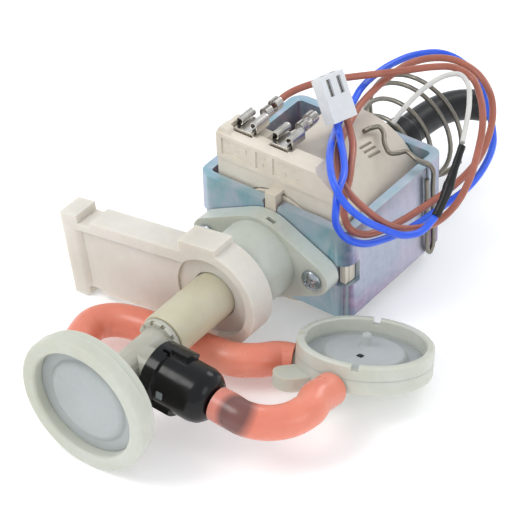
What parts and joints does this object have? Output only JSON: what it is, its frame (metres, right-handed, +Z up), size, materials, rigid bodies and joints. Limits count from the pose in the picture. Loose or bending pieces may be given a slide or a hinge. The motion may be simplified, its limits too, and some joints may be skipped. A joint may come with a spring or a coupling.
{
  "type": "solenoid vibration pump",
  "caption": "Solenoid vibration pump in a bent steel yoke with a silicone mount, pulsation dampers, hoses, suspension spring and wiring pigtail.",
  "frame": {"origin": "centre of the bounding box's footprint, on the surface the pump lies on, measured without the wiring pigtail", "axes": "+Z up, +Y along the pump axis towards its inlet side, +X to the right of the pump seen from its outlet side"},
  "size_m": [0.121, 0.1943, 0.0691],
  "materials": {
    "zinc_plate": "passivated zinc with a blue and violet tint",
    "coil_plastic": "moulded cream",
    "head_plastic": "translucent grey-green moulding",
    "outlet_plastic": "translucent olive-cream moulding",
    "silicone": "milky translucent silicone",
    "damper_plastic": "off-white, slightly translucent moulding",
    "membrane": "pale grey silicone",
    "hose": "salmon translucent silicone",
    "black_plastic": "glossy black moulding",
    "black_rubber": "satin black",
    "spring_steel": "drawn wire, slightly brown",
    "screw_steel": "bright plated",
    "core_steel": "turned",
    "tin_plate": "tin-plated strip",
    "copper": null,
    "brass": "drawn tube",
    "connector_plastic": "white nylon",
    "blue_insulation": "satin",
    "brown_insulation": "satin",
    "white_insulation": "satin"
  },
  "bodies": {
    "housing": {"yoke_frame": "zinc_plate", "coil_body": "coil_plastic", "coil_bobbin": "coil_plastic", "coil_winding": "copper", "terminal_tab_left": "tin_plate", "terminal_tab_right": "tin_plate", "receptacle_left": "tin_plate", "receptacle_right": "tin_plate", "guide_tube": "brass", "front_pole_sleeve": "core_steel", "air_gap_spacer": "outlet_plastic", "rear_pole_sleeve": "core_steel", "buffer_spring": "spring_steel", "main_spring": "spring_steel", "inlet_fitting": "outlet_plastic", "pump_head": "head_plastic", "piston_seal": "black_rubber", "head_screw_left": "screw_steel", "head_screw_right": "screw_steel", "outlet_tube": "outlet_plastic", "valve_seat": "outlet_plastic", "outlet_spring": "spring_steel", "spring_stop": "outlet_plastic", "silicone_mount": "silicone", "tee_piece": "head_plastic", "snap_cap": "black_plastic", "cap_seal": "black_rubber", "damper_1_cup": "damper_plastic", "damper_1_ring": "damper_plastic", "damper_2_base": "damper_plastic", "damper_2_rim": "damper_plastic", "hose_1": "hose", "hose_2": "hose", "inlet_elbow": "black_rubber", "suspension_spring": "spring_steel", "clip_wire": "spring_steel", "connector_housing": "connector_plastic", "connector_contact_a": "tin_plate", "connector_contact_b": "tin_plate", "blue_wire": "blue_insulation", "brown_wire": "brown_insulation", "white_lead": "white_insulation", "splice_sleeve": "black_rubber"},
    "plunger": {"plunger": "core_steel"},
    "inlet_valve": {"inlet_valve": "black_rubber"},
    "outlet_valve": {"outlet_valve": "black_rubber"},
    "front_damper_disc": {"damper_1_disc": "membrane"},
    "flat_damper_disc": {"damper_2_disc": "membrane"}
  },
  "joints": [
    {"name": "plunger_slide", "type": "slide", "parent": "housing", "child": "plunger", "axis": [0, 1, 0], "range_m": [-0.0012, 0.003], "stiffness_N_per_m": 1700, "deforming": ["main_spring", "buffer_spring"]},
    {"name": "inlet_valve_slide", "type": "slide", "parent": "plunger", "child": "inlet_valve", "axis": [0, -1, 0], "range_m": [0, 0.0006], "stiffness_N_per_m": 100},
    {"name": "outlet_valve_slide", "type": "slide", "parent": "housing", "child": "outlet_valve", "axis": [0, -1, 0], "range_m": [0, 0.0015], "stiffness_N_per_m": 300, "deforming": ["outlet_spring"]},
    {"name": "front_damper_flex", "type": "slide", "parent": "housing", "child": "front_damper_disc", "axis": [0, -1, 0], "range_m": [-0.001, 0.001], "stiffness_N_per_m": 1500},
    {"name": "flat_damper_flex", "type": "slide", "parent": "housing", "child": "flat_damper_disc", "axis": [-0.1026, 0.2955, 0.9498], "range_m": [-0.0012, 0.0012], "stiffness_N_per_m": 1500}
  ]
}
